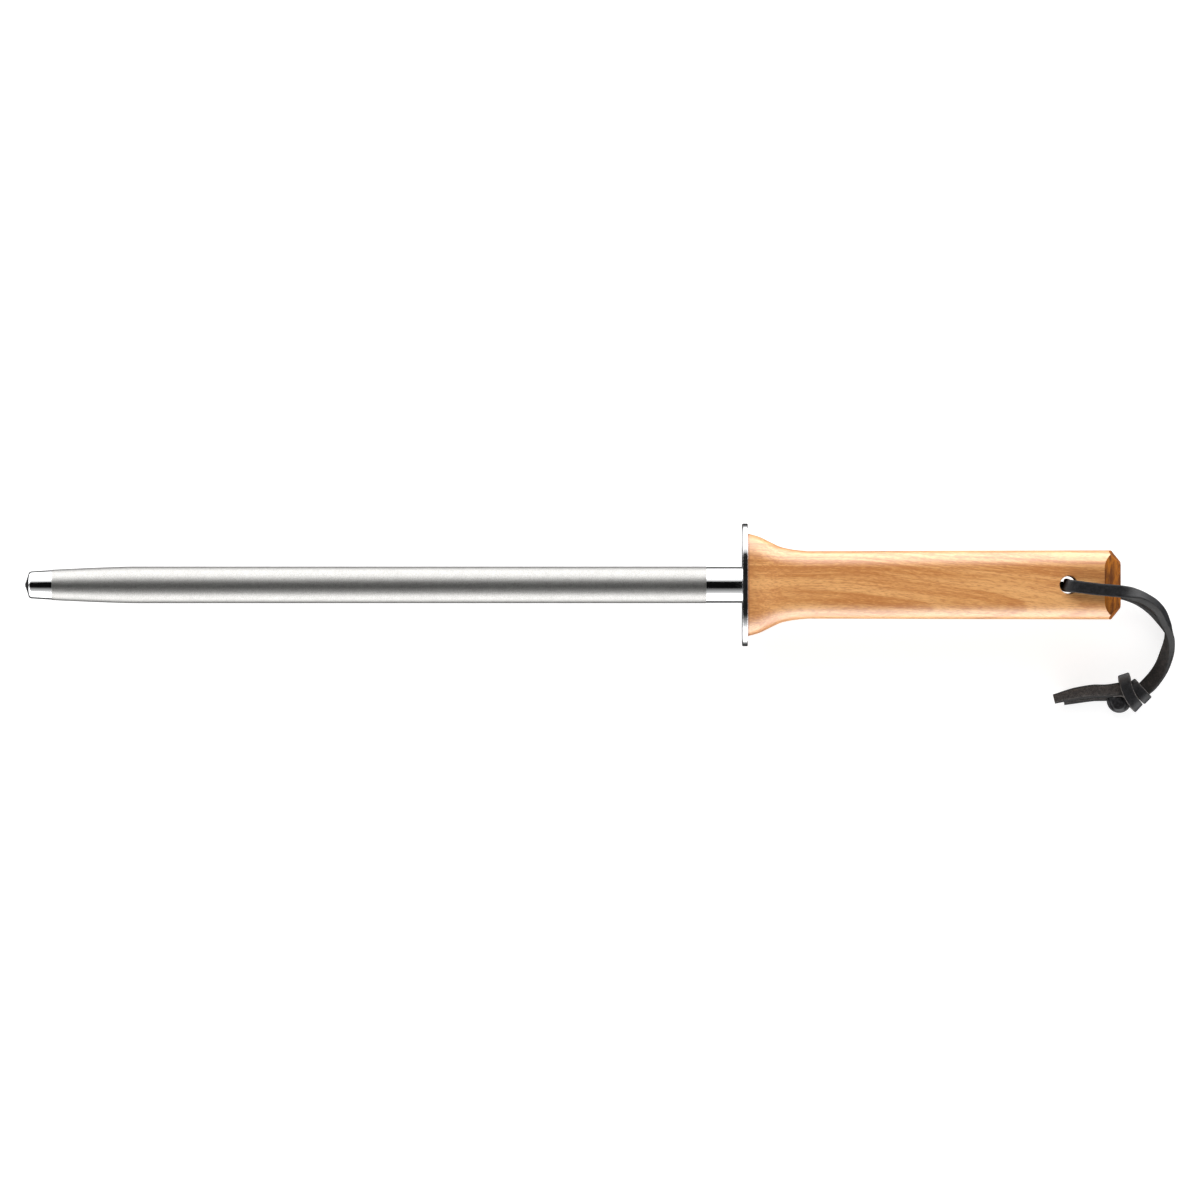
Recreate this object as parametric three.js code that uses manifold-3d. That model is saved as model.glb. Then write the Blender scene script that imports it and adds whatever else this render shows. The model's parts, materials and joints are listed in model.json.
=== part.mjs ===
// Knife sharpening steel: a tapered steel rod with a diamond coating, a flat guard plate, a beech
// handle and a leather thong knotted through the butt.
//
// Millimetres. The steel lies on the flat side of its guard. +X runs from the tip to the butt, +Z is
// up, and the origin is on the table, below the middle of the steel's length.

import * as THREE from 'three';
import { mergeVertices } from 'three/addons/utils/BufferGeometryUtils.js';
import Module from 'manifold-3d';

const wasm = await Module();
wasm.setup();

// ---------------------------------------------------------------- driving dimensions
// Along the axis, positions are measured from the guard's front face, and the tip is at -ROD_LENGTH.

const ROD_LENGTH = 240; // from the guard to the tip
const ROD_RADIUS = 6; // bare steel
const NECK_LENGTH = 12; // bare polished stretch at the guard
const TIP_BARE_LENGTH = 9; // bare polished stretch at the tip
const TIP_CONE_LENGTH = 1.15;
const TIP_CONE_RADIUS = 3.6;
const TIP_ROUNDING = 0.5; // easing of the cone's point
const TIP_SHOULDER_LENGTH = 1.25; // the curve from the cone to the side
const TIP_SHOULDER_RADIUS = 4.55;
const TIP_SHOULDER_STEPS = 3;
const TAPER_LENGTH = 27; // from the bare tip up to the full radius
const TAPER_START_RADIUS = 4.95;
const TAPER_POWER = 1.25; // 1 would be a straight cone
const TAPER_STEPS = 6;

const COATING_THICKNESS = 0.15;

const TANG_RADIUS = 4;
const TANG_END = 76;
const TANG_GROOVES = 4; // round keying grooves that the adhesive fills
const TANG_GROOVE_START = 16;
const TANG_GROOVE_PITCH = 14;
const TANG_GROOVE_WIDTH = 3;
const TANG_GROOVE_DEPTH = 0.6;

const GUARD_THICKNESS = 1.8;
const GUARD_HALF_HEIGHT = 20.5;
const GUARD_HALF_DEPTH = 16.5;
const GUARD_CORNER_RADIUS = 12.2;
const GUARD_EDGE = 0.2; // eased edge
const GUARD_HOLE_RADIUS = 4.15;

const HANDLE_LENGTH = 124.75;
const HANDLE_FRONT_HALF_HEIGHT = 17.15;
const HANDLE_WAIST_HALF_HEIGHT = 11.3;
const HANDLE_BUTT_HALF_HEIGHT = 11.55;
const HANDLE_BUTT_HALF_DEPTH = 10;
const HANDLE_CORNER_RADIUS = 6.1;
const HANDLE_DEPTH_SHARE = 0.55; // how much of the flare's growth in height its depth has
const HANDLE_STEPS = 28;
const BORE_RADIUS = 4.6;
const BORE_END = 84;

const BUTT_FACE_HALF_HEIGHT = 7.7; // what the chamfers leave of the end face
const BUTT_FACE_HALF_DEPTH = 4;
const BUTT_SIDE_CHAMFER_LENGTH = 3.1; // chamfers of the two narrow sides, each in two facets
const BUTT_SIDE_FACET_TILT = THREE.MathUtils.degToRad(9);
const BUTT_FACE_CHAMFER_LENGTH = 5.6; // chamfers of the two broad sides

const THONG_HOLE_RADIUS = 2.9;
const THONG_HOLE_FROM_BUTT = 17.65;

const LACE_WIDTH = 4.1;
const LACE_THICKNESS = 2.4;
const LACE_CORNER = 0.45;
const LACE_STEP = 2.2;
const STEEP = 0.97; // a strand steeper than this is inside the thong hole

const KNOT_APOTHEM = 6.9;
const KNOT_HEIGHT = 8.9;
const KNOT_BEVEL = 0.8;
const KNOT_TURN = THREE.MathUtils.degToRad(-8);
const KNOT_LIFT = 0.05; // clear of the table by the thickness of a hair

const FIT_GAP = 0.03; // between the adhesive and what it bonds
const FACE_GAP = 0.3; // between the adhesive and the guard
const ROUND_SEGMENTS = 32;
const HOLE_SEGMENTS = 24;

const AXIS_HEIGHT = GUARD_HALF_DEPTH;
const HANDLE_START = GUARD_THICKNESS;
const BUTT_END = HANDLE_START + HANDLE_LENGTH;
const AXIS_SHIFT = (ROD_LENGTH - BUTT_END) / 2; // puts the origin at the middle of the length
const THONG_HOLE_X = BUTT_END - THONG_HOLE_FROM_BUTT;

// The lace's routes, relative to the thong hole's axis, with heights above the table. Both strands
// start half way through the handle. The front one runs over the handle and down to the knot, and
// the back one runs under the handle.
const FRONT_STRAND_ROUTE = [
  [-0.6, -0.1, 16.65],
  [-0.55, -0.1, 21.3],
  [-0.3, -0.15, 24.4],
  [0.6, -0.35, 26.7],
  [2.5, -0.55, 27.9],
  [5.8, -1, 28.05],
  [11, -1.6, 28.05],
  [17.6, -2.25, 28.05],
  [21.6, -3.15, 27.7],
  [24.4, -4.05, 26.9],
  [28.3, -6.3, 24.2],
  [31, -9.1, 20.8],
  [32.75, -12.4, 17.3],
  [33.95, -15.1, 14.4],
  [34.4, -17.8, 11.8],
  [34.1, -20.45, 9.6],
  [33.5, -22.9, 7.9],
  [32, -27.15, 5.9],
  [30.3, -30, 5],
  [27.85, -32.95, 4.6],
];
const BACK_STRAND_ROUTE = [
  [-0.6, -0.1, 16.35],
  [-0.5, -0.1, 11.6],
  [-0.2, -0.15, 8.6],
  [0.4, -0.3, 6.4],
  [1.9, -0.45, 5.15],
  [5.3, -1.1, 4.9],
  [11, -1.9, 4.85],
  [17.6, -2.65, 4.6],
  [21.6, -3.65, 4.2],
  [24.1, -4.65, 3.8],
  [27.9, -7.1, 3.2],
  [30.6, -9.7, 2.8],
  [32.6, -12.55, 2.7],
  [33.95, -15.2, 2.6],
  [34.5, -17.8, 2.55],
  [34.3, -20.65, 2.5],
  [33.7, -23.4, 2.3],
  [32.2, -27.55, 1.8],
  [30.5, -30.4, 1.55],
  [28.25, -33.15, 1.45],
];

// How far each strand is turned about its line at the points of its route, in degrees. The slack in
// the hole is twisted by a quarter turn, outside the handle the strand stands on edge, and at the knot
// it has turned over.
const FRONT_STRAND_ROLL = [90, 55, 12, 0, 0, 0, 0, 4, 35, 55, 60, 61, 66, 82, 106, 128, 145, 162, 172, 178];
const BACK_STRAND_ROLL = [-90, -50, -12, 0, 0, 0, 0, 0, 8, 15, 24, 38, 60, 83, 106, 130, 150, 168, 176, 180];

const KNOT_CENTRE = [21.1, -36.7];
const UPPER_TAIL_ROUTE = [
  [13.8, -35.5, 4.45],
  [9.2, -35.6, 4.35],
  [5.2, -36.1, 4.3],
  [1.2, -36.92, 4.2],
  [-4.2, -38.3, 4.1],
];
const LOWER_TAIL_ROUTE = [
  [13.8, -36.9, 1.55],
  [9.2, -37, 1.5],
  [5.2, -37.42, 1.45],
  [2.2, -37.95, 1.45],
  [-0.9, -38.5, 1.45],
];

// ---------------------------------------------------------------- materials

function material(color, roughness, metalness) {
  return new THREE.MeshStandardMaterial({ color, roughness, metalness });
}

const polishedSteel = material(0xc9cbcd, 0.16, 1.0);
const diamondGrit = material(0xa9abac, 0.55, 0.85);
const beech = material(0xd9a066, 0.5, 0.0);
const epoxy = material(0xb8a77a, 0.6, 0.0);
const leather = material(0x262322, 0.65, 0.0);

// ---------------------------------------------------------------- helpers

// A closed three.js geometry as a solid that can be joined and cut.
function solid(geometry) {
  const bare = geometry.clone();
  bare.deleteAttribute('normal');
  bare.deleteAttribute('uv');
  const merged = mergeVertices(bare, 1e-4);
  const vertProperties = new Float32Array(merged.attributes.position.array);
  const triVerts = new Uint32Array(merged.index.array);
  return new wasm.Manifold(new wasm.Mesh({ numProp: 3, vertProperties, triVerts }));
}

// A solid's surface as a three.js geometry.
function surface(cut) {
  const mesh = cut.getMesh();
  const geometry = new THREE.BufferGeometry();
  geometry.setAttribute('position', new THREE.BufferAttribute(new Float32Array(mesh.vertProperties), 3));
  geometry.setIndex(new THREE.BufferAttribute(new Uint32Array(mesh.triVerts), 1));
  geometry.computeVertexNormals();
  return geometry;
}

function named(name, geometry, look) {
  const mesh = new THREE.Mesh(geometry, look);
  mesh.name = name;
  return mesh;
}

// A turned piece about the X axis, from [radius, x] points that start and end on the axis or close.
function turned(points) {
  const profile = points.map(([radius, x]) => new THREE.Vector2(radius, x));
  return new THREE.LatheGeometry(profile, ROUND_SEGMENTS).rotateZ(-Math.PI / 2);
}

// An upright rectangle with round corners. Its width is along the shape's X.
function roundedRectangle(halfWidth, halfHeight, radius) {
  const shape = new THREE.Shape();
  const x = halfWidth - radius;
  const y = halfHeight - radius;
  shape.absarc(x, y, radius, 0, Math.PI / 2);
  shape.absarc(-x, y, radius, Math.PI / 2, Math.PI);
  shape.absarc(-x, -y, radius, Math.PI, 1.5 * Math.PI);
  shape.absarc(x, -y, radius, 1.5 * Math.PI, 2 * Math.PI);
  return shape;
}

// A large block whose face passes through a point and whose body lies on the normal's side of it.
function blockBeyond(point, normal) {
  const size = 60;
  const turn = new THREE.Quaternion().setFromUnitVectors(new THREE.Vector3(0, 0, 1), normal.normalize());
  return new THREE.BoxGeometry(size, size, size)
    .translate(0, 0, size / 2)
    .applyQuaternion(turn)
    .translate(point.x, point.y, point.z);
}

// ---------------------------------------------------------------- rod, coating and tang

// The steel's radius under the taper, at a share from 0 at the bare tip to 1 at the full rod.
function taperRadius(share) {
  return ROD_RADIUS - (ROD_RADIUS - TAPER_START_RADIUS) * Math.pow(1 - share, TAPER_POWER);
}

const TAPER_START = -ROD_LENGTH + TIP_BARE_LENGTH;

function taperPoints(thickness) {
  const points = [];
  for (let i = 0; i <= TAPER_STEPS; i += 1) {
    const share = i / TAPER_STEPS;
    points.push([taperRadius(share) + thickness, TAPER_START + share * TAPER_LENGTH]);
  }
  return points;
}

// The tang's outline from the rod's shoulder to its end, grown by a gap.
function tangPoints(start, gap) {
  const points = [[TANG_RADIUS + gap, start]];
  for (let i = 0; i < TANG_GROOVES; i += 1) {
    const x = TANG_GROOVE_START + i * TANG_GROOVE_PITCH;
    const floor = TANG_RADIUS - TANG_GROOVE_DEPTH + gap;
    points.push([TANG_RADIUS + gap, x]);
    points.push([floor, x + TANG_GROOVE_DEPTH]);
    points.push([floor, x + TANG_GROOVE_WIDTH - TANG_GROOVE_DEPTH]);
    points.push([TANG_RADIUS + gap, x + TANG_GROOVE_WIDTH]);
  }
  points.push([TANG_RADIUS + gap, TANG_END - 1]);
  points.push([TANG_RADIUS - 1 + gap, TANG_END + gap]);
  points.push([0, TANG_END + gap]);
  return points;
}

// The curve that joins the point's cone to the side of the bare tip.
function shoulderPoints() {
  const points = [];
  for (let i = 0; i <= TIP_SHOULDER_STEPS; i += 1) {
    const angle = (i / TIP_SHOULDER_STEPS) * (Math.PI / 2);
    const radius = TIP_CONE_RADIUS + (TIP_SHOULDER_RADIUS - TIP_CONE_RADIUS) * Math.sin(angle);
    const x = -ROD_LENGTH + TIP_CONE_LENGTH + TIP_SHOULDER_LENGTH * (1 - Math.cos(angle));
    points.push([radius, x]);
  }
  return points;
}

function makeRod() {
  return turned([
    [0, -ROD_LENGTH],
    [TIP_ROUNDING, -ROD_LENGTH + 0.08],
    [TIP_ROUNDING * 2, -ROD_LENGTH + 0.25],
    ...shoulderPoints(),
    ...taperPoints(0),
    [ROD_RADIUS, -NECK_LENGTH],
    [ROD_RADIUS, 0],
    ...tangPoints(0, 0),
  ]);
}

// The grit layer covers the rod from the bare tip to the bare neck, and touches it all over.
function makeCoating() {
  const inside = [...taperPoints(0), [ROD_RADIUS, -NECK_LENGTH]];
  const outside = [...taperPoints(COATING_THICKNESS), [ROD_RADIUS + COATING_THICKNESS, -NECK_LENGTH]];
  return turned([...outside, ...inside.reverse(), outside[0]]);
}

// The adhesive fills the bore round the tang and behind its end.
function makeAdhesive() {
  const mouth = HANDLE_START + FACE_GAP;
  const outer = BORE_RADIUS - FIT_GAP;
  return turned([
    ...tangPoints(mouth, FIT_GAP).reverse(),
    [outer, mouth],
    [outer, BORE_END - FIT_GAP],
    [0, BORE_END - FIT_GAP],
  ]);
}

// ---------------------------------------------------------------- guard

function makeGuard() {
  const outline = roundedRectangle(GUARD_HALF_DEPTH, GUARD_HALF_HEIGHT, GUARD_CORNER_RADIUS);
  const hole = new THREE.Path();
  hole.absarc(0, 0, GUARD_HOLE_RADIUS, 0, 2 * Math.PI, true);
  outline.holes.push(hole);
  const geometry = new THREE.ExtrudeGeometry(outline, {
    depth: GUARD_THICKNESS - 2 * GUARD_EDGE,
    bevelThickness: GUARD_EDGE,
    bevelSize: GUARD_EDGE,
    bevelOffset: -GUARD_EDGE,
    bevelSegments: 1,
    curveSegments: 12,
  });
  return geometry.translate(0, 0, GUARD_EDGE).rotateY(Math.PI / 2);
}

// ---------------------------------------------------------------- handle

// Half the handle's height along its length, from the guard to the butt.
const handleProfile = new THREE.SplineCurve([
  new THREE.Vector2(0, HANDLE_FRONT_HALF_HEIGHT),
  new THREE.Vector2(4, 16),
  new THREE.Vector2(8, 14.06),
  new THREE.Vector2(12, 12.4),
  new THREE.Vector2(18.7, 11.4),
  new THREE.Vector2(27, HANDLE_WAIST_HALF_HEIGHT),
  new THREE.Vector2(75, (HANDLE_WAIST_HALF_HEIGHT + HANDLE_BUTT_HALF_HEIGHT) / 2),
  new THREE.Vector2(HANDLE_LENGTH, HANDLE_BUTT_HALF_HEIGHT),
]);

// A bar of the butt's section, grown along its length to the profile's height and depth.
function makeHandleBlank() {
  const section = roundedRectangle(HANDLE_BUTT_HALF_DEPTH, HANDLE_BUTT_HALF_HEIGHT, HANDLE_CORNER_RADIUS);
  const bar = new THREE.ExtrudeGeometry(section, {
    depth: 1,
    steps: HANDLE_STEPS,
    bevelEnabled: false,
    curveSegments: 6,
  });
  bar.rotateY(Math.PI / 2);
  const place = bar.attributes.position;
  for (let i = 0; i < place.count; i += 1) {
    const share = THREE.MathUtils.clamp(place.getX(i), 0, 1);
    const at = handleProfile.getPoint(share);
    const halfDepth = HANDLE_BUTT_HALF_DEPTH + HANDLE_DEPTH_SHARE * (at.y - HANDLE_BUTT_HALF_HEIGHT);
    place.setXYZ(
      i,
      at.x,
      (place.getY(i) * at.y) / HANDLE_BUTT_HALF_HEIGHT,
      (place.getZ(i) * halfDepth) / HANDLE_BUTT_HALF_DEPTH,
    );
  }
  return bar;
}

// The flat cuts that shape the butt, in the handle's own coordinates.
function buttCuts() {
  const cuts = [];
  for (const side of [-1, 1]) {
    const faceRise = HANDLE_BUTT_HALF_DEPTH - BUTT_FACE_HALF_DEPTH;
    cuts.push(blockBeyond(
      new THREE.Vector3(HANDLE_LENGTH, 0, side * BUTT_FACE_HALF_DEPTH),
      new THREE.Vector3(faceRise, 0, side * BUTT_FACE_CHAMFER_LENGTH),
    ));
    const sideRise = HANDLE_BUTT_HALF_HEIGHT - BUTT_FACE_HALF_HEIGHT;
    const slope = Math.hypot(sideRise, BUTT_SIDE_CHAMFER_LENGTH);
    for (const tilt of [-1, 1]) {
      cuts.push(blockBeyond(
        new THREE.Vector3(HANDLE_LENGTH, side * BUTT_FACE_HALF_HEIGHT, 0),
        new THREE.Vector3(
          sideRise,
          side * BUTT_SIDE_CHAMFER_LENGTH,
          tilt * slope * Math.tan(BUTT_SIDE_FACET_TILT),
        ),
      ));
    }
  }
  return cuts;
}

function makeHandle() {
  const boreLength = BORE_END - HANDLE_START;
  const bore = new THREE.CylinderGeometry(BORE_RADIUS, BORE_RADIUS, boreLength + 1, ROUND_SEGMENTS)
    .rotateZ(-Math.PI / 2)
    .translate((boreLength - 1) / 2, 0, 0);
  const thongHole = new THREE.CylinderGeometry(THONG_HOLE_RADIUS, THONG_HOLE_RADIUS, 30, HOLE_SEGMENTS)
    .rotateX(Math.PI / 2)
    .translate(HANDLE_LENGTH - THONG_HOLE_FROM_BUTT, 0, 0);
  let handle = solid(makeHandleBlank());
  for (const tool of [...buttCuts(), bore, thongHole]) {
    handle = handle.subtract(solid(tool));
  }
  return surface(handle);
}

// ---------------------------------------------------------------- thong

// A lace's centre line. The rolls turn the lace about that line, in degrees, from lying level or,
// inside the thong hole, from having its width square to the handle.
class LaceCurve extends THREE.CatmullRomCurve3 {
  constructor(route, rolls) {
    super(route.map((point) => new THREE.Vector3(...point)));
    this.rolls = rolls;
  }

  // The roll in radians at a share of the length.
  rollAt(share) {
    const place = this.getUtoTmapping(share) * (this.rolls.length - 1);
    const before = Math.min(Math.floor(place), this.rolls.length - 2);
    const between = THREE.MathUtils.lerp(this.rolls[before], this.rolls[before + 1], place - before);
    return THREE.MathUtils.degToRad(between);
  }

  computeFrenetFrames(segments) {
    const frames = { tangents: [], normals: [], binormals: [] };
    for (let i = 0; i <= segments; i += 1) {
      const share = i / segments;
      const tangent = this.getTangentAt(share);
      const level = Math.abs(tangent.z) > STEEP
        ? new THREE.Vector3(0, -1, 0)
        : new THREE.Vector3(tangent.y, -tangent.x, 0).normalize();
      const normal = level.applyAxisAngle(tangent, -this.rollAt(share));
      frames.tangents.push(tangent);
      frames.normals.push(normal);
      frames.binormals.push(new THREE.Vector3().crossVectors(tangent, normal));
    }
    return frames;
  }
}

function makeLace(route, rolls = route.map(() => 0)) {
  const halfWidth = LACE_WIDTH / 2;
  const halfThickness = LACE_THICKNESS / 2;
  const corner = LACE_CORNER;
  const section = new THREE.Shape([
    new THREE.Vector2(halfWidth, -halfThickness + corner),
    new THREE.Vector2(halfWidth, halfThickness - corner),
    new THREE.Vector2(halfWidth - corner, halfThickness),
    new THREE.Vector2(-halfWidth + corner, halfThickness),
    new THREE.Vector2(-halfWidth, halfThickness - corner),
    new THREE.Vector2(-halfWidth, -halfThickness + corner),
    new THREE.Vector2(-halfWidth + corner, -halfThickness),
    new THREE.Vector2(halfWidth - corner, -halfThickness),
  ]);
  const path = new LaceCurve(route, rolls);
  const steps = Math.ceil(path.getLength() / LACE_STEP);
  return new THREE.ExtrudeGeometry(section, { steps, bevelEnabled: false, extrudePath: path });
}

// The knot's outer shape: an eight-sided pad whose flat sides face the strands and the tails.
function makeKnot() {
  const sides = 8;
  const corner = KNOT_APOTHEM / Math.cos(Math.PI / sides);
  const outline = [];
  for (let i = 0; i < sides; i += 1) {
    const angle = KNOT_TURN + ((i + 0.5) * 2 * Math.PI) / sides;
    outline.push(new THREE.Vector2(corner * Math.cos(angle), corner * Math.sin(angle)));
  }
  const geometry = new THREE.ExtrudeGeometry(new THREE.Shape(outline), {
    depth: KNOT_HEIGHT - 2 * KNOT_BEVEL,
    bevelThickness: KNOT_BEVEL,
    bevelSize: KNOT_BEVEL,
    bevelOffset: -KNOT_BEVEL,
    bevelSegments: 1,
  });
  return geometry.translate(...KNOT_CENTRE, KNOT_BEVEL + KNOT_LIFT);
}

// ---------------------------------------------------------------- assembly

const rodAssembly = new THREE.Group();
rodAssembly.add(
  named('steel_rod', makeRod(), polishedSteel),
  named('diamond_coating', makeCoating(), diamondGrit),
  named('guard_plate', makeGuard(), polishedSteel.clone()),
  named('tang_adhesive', makeAdhesive(), epoxy),
);

const handle = named('handle', makeHandle(), beech);
handle.position.x = HANDLE_START;
rodAssembly.add(handle);
rodAssembly.position.set(AXIS_SHIFT, 0, AXIS_HEIGHT);

const thong = new THREE.Group();
thong.add(
  named('thong_front_strand', makeLace(FRONT_STRAND_ROUTE, FRONT_STRAND_ROLL), leather),
  named('thong_back_strand', makeLace(BACK_STRAND_ROUTE, BACK_STRAND_ROLL), leather.clone()),
  named('thong_knot', makeKnot(), leather.clone()),
  named('thong_upper_tail', makeLace(UPPER_TAIL_ROUTE), leather.clone()),
  named('thong_lower_tail', makeLace(LOWER_TAIL_ROUTE), leather.clone()),
);
thong.position.set(AXIS_SHIFT + THONG_HOLE_X, 0, 0);

const sharpeningSteel = new THREE.Group();
sharpeningSteel.add(rodAssembly, thong);

export default sharpeningSteel;
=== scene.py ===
"""Looks of the knife sharpening steel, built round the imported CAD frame, in metres."""

import json
import math

import bmesh
import bpy
import numpy as np
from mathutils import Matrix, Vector


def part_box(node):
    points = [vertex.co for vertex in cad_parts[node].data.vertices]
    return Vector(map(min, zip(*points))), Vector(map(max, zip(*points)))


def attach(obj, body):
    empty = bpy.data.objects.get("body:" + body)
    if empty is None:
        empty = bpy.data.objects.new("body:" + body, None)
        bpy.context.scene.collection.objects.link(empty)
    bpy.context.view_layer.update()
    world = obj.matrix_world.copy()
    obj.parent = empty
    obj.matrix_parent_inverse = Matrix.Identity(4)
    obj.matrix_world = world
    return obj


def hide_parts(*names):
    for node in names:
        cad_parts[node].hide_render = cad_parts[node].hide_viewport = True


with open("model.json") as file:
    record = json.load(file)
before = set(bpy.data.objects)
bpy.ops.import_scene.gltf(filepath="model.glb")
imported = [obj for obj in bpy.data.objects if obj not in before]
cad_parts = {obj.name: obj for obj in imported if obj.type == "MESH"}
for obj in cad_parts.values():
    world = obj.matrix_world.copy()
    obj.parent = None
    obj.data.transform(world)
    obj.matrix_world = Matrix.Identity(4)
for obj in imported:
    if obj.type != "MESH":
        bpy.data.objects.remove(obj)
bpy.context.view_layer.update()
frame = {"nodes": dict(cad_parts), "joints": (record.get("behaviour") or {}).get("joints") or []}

MM = 0.001
NEARLY_ZERO = 1e-9

# -------------------------------------- places, worked out from the frame

ROD_LOW, ROD_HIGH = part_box("steel_rod")
GUARD_LOW, GUARD_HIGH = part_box("guard_plate")
HANDLE_LOW, HANDLE_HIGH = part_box("handle")
COAT_LOW, COAT_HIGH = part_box("diamond_coating")
HOLE_X = frame["joints"][0]["pos_m"][0]
AXIS_Z = (ROD_LOW.z + ROD_HIGH.z) / 2
GUARD_X = GUARD_LOW.x
BUTT_X = HANDLE_HIGH.x


# -------------------------------------- camera

VIEW_WIDTH = 0.4016  # what the frame spans at the rod's axis
VIEW_CENTRE = Vector((0.00913, -0.00505, AXIS_Z))
CAMERA_HEIGHT = 4.9
SENSOR_MM = 36.0


def make_camera():
    data = bpy.data.cameras.new("camera")
    data.sensor_width = SENSOR_MM
    data.lens = SENSOR_MM * CAMERA_HEIGHT / VIEW_WIDTH
    data.clip_start = 0.05
    data.clip_end = 100.0
    camera = bpy.data.objects.new("camera", data)
    camera.location = VIEW_CENTRE + Vector((0, 0, CAMERA_HEIGHT))
    bpy.context.scene.collection.objects.link(camera)
    bpy.context.scene.camera = camera


make_camera()


# -------------------------------------- mesh helpers

def mesh_object(name, verts, faces, materials, face_materials=None, sharp_angle=35.0):
    """A mesh object with smooth shading that breaks at edges sharper than an angle."""
    mesh = bpy.data.meshes.new(name)
    mesh.from_pydata([tuple(v) for v in verts], [], faces)
    for material in materials:
        mesh.materials.append(material)
    if face_materials is not None:
        mesh.polygons.foreach_set("material_index", face_materials)
    mesh.polygons.foreach_set("use_smooth", [True] * len(mesh.polygons))
    mesh.set_sharp_from_angle(angle=math.radians(sharp_angle))
    mesh.update()
    obj = bpy.data.objects.new(name, mesh)
    bpy.context.scene.collection.objects.link(obj)
    return obj


def ring_faces(rings, count, closed_ends=True):
    """Faces of a tube of rings with count points each."""
    faces = []
    for ring in range(rings - 1):
        a, b = ring * count, (ring + 1) * count
        for i in range(count):
            j = (i + 1) % count
            faces.append((a + i, a + j, b + j, b + i))
    if closed_ends:
        faces.append(tuple(range(count - 1, -1, -1)))
        last = (rings - 1) * count
        faces.append(tuple(range(last, last + count)))
    return faces


def turned(name, profile, material, segments=128, closed=False):
    """A turned piece about the rod's axis, from (radius, x) points in the row frame."""
    angles = np.arange(segments) * 2 * math.pi / segments
    verts, rings = [], []
    for radius, x in profile:
        rings.append(len(verts))
        if radius < NEARLY_ZERO:
            verts.append((x, 0.0, AXIS_Z))
        else:
            verts.extend((x, radius * math.cos(a), AXIS_Z + radius * math.sin(a)) for a in angles)
    faces = []
    pairs = list(zip(range(len(profile) - 1), range(1, len(profile))))
    if closed:
        pairs.append((len(profile) - 1, 0))
    for a, b in pairs:
        start_a, start_b = rings[a], rings[b]
        for i in range(segments):
            j = (i + 1) % segments
            if profile[a][0] < NEARLY_ZERO:
                faces.append((start_a, start_b + j, start_b + i))
            elif profile[b][0] < NEARLY_ZERO:
                faces.append((start_a + i, start_a + j, start_b))
            else:
                faces.append((start_a + i, start_a + j, start_b + j, start_b + i))
    return mesh_object(name, verts, faces, [material])


def fix_normals(obj):
    bm = bmesh.new()
    bm.from_mesh(obj.data)
    bmesh.ops.recalc_face_normals(bm, faces=bm.faces)
    bm.to_mesh(obj.data)
    bm.free()
    return obj


# -------------------------------------- smooth lines

ROUTE_SAMPLES = 24  # points on the curve between two points of a route


def route_line(points, step):
    """Evenly spaced points on a centripetal Catmull-Rom curve.

    Columns past the third are carried along.
    """
    p = np.array(points, float)
    p = np.vstack([2 * p[0] - p[1], p, 2 * p[-1] - p[-2]])
    dense = []
    s = np.linspace(0, 1, ROUTE_SAMPLES, endpoint=False)[:, None]
    for i in range(1, len(p) - 2):
        p0, p1, p2, p3 = p[i - 1], p[i], p[i + 1], p[i + 2]
        d0, d1, d2 = (
            max(np.linalg.norm((b - a)[:3]), NEARLY_ZERO) ** 0.5
            for a, b in ((p0, p1), (p1, p2), (p2, p3))
        )
        t1 = ((p1 - p0) / d0 - (p2 - p0) / (d0 + d1) + (p2 - p1) / d1) * d1
        t2 = ((p2 - p1) / d1 - (p3 - p1) / (d1 + d2) + (p3 - p2) / d2) * d1
        dense.append(
            p1
            + t1 * s
            + (-3 * p1 + 3 * p2 - 2 * t1 - t2) * s**2
            + (2 * p1 - 2 * p2 + t1 + t2) * s**3
        )
    line = np.vstack([*dense, p[-2]])
    along = np.concatenate([[0], np.cumsum(np.linalg.norm(np.diff(line[:, :3], axis=0), axis=1))])
    count = max(2, round(along[-1] / step) + 1)
    wanted = np.linspace(0, along[-1], count)
    return np.column_stack([np.interp(wanted, along, line[:, k]) for k in range(line.shape[1])])


def unit(v):
    v = np.asarray(v, float)
    return v / np.maximum(np.linalg.norm(v, axis=-1, keepdims=True), 1e-12)


# -------------------------------------- leather lace

LACE_WIDTH = 4.1 * MM
LACE_THICKNESS = 2.4 * MM
LACE_CORNER = 0.42 * MM
LACE_STEP = 0.45 * MM  # between two sections of a lace
STEEP = 0.97  # the rise per unit of length above which a lace counts as upright
TOP, EDGE, UNDER = 0, 1, 2  # the sides of a lace, which are also its materials' numbers

# The routes of part.mjs, in metres, relative to the thong hole's axis, with heights above the
# table. A roll in degrees turns the lace about its line at each point of its route.
FRONT_STRAND_ROUTE = [
    (-0.0006, -0.0001, 0.01665),
    (-0.00055, -0.0001, 0.0213),
    (-0.0003, -0.00015, 0.0244),
    (0.0006, -0.00035, 0.0267),
    (0.0025, -0.00055, 0.0279),
    (0.0058, -0.001, 0.02805),
    (0.011, -0.0016, 0.02805),
    (0.0176, -0.00225, 0.02805),
    (0.0216, -0.00315, 0.0277),
    (0.0244, -0.00405, 0.0269),
    (0.0283, -0.0063, 0.0242),
    (0.031, -0.0091, 0.0208),
    (0.03275, -0.0124, 0.0173),
    (0.03395, -0.0151, 0.0144),
    (0.0344, -0.0178, 0.0118),
    (0.0341, -0.02045, 0.0096),
    (0.0335, -0.0229, 0.0079),
    (0.032, -0.02715, 0.0059),
    (0.0303, -0.03, 0.005),
    (0.02785, -0.03295, 0.0046),
]
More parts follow.
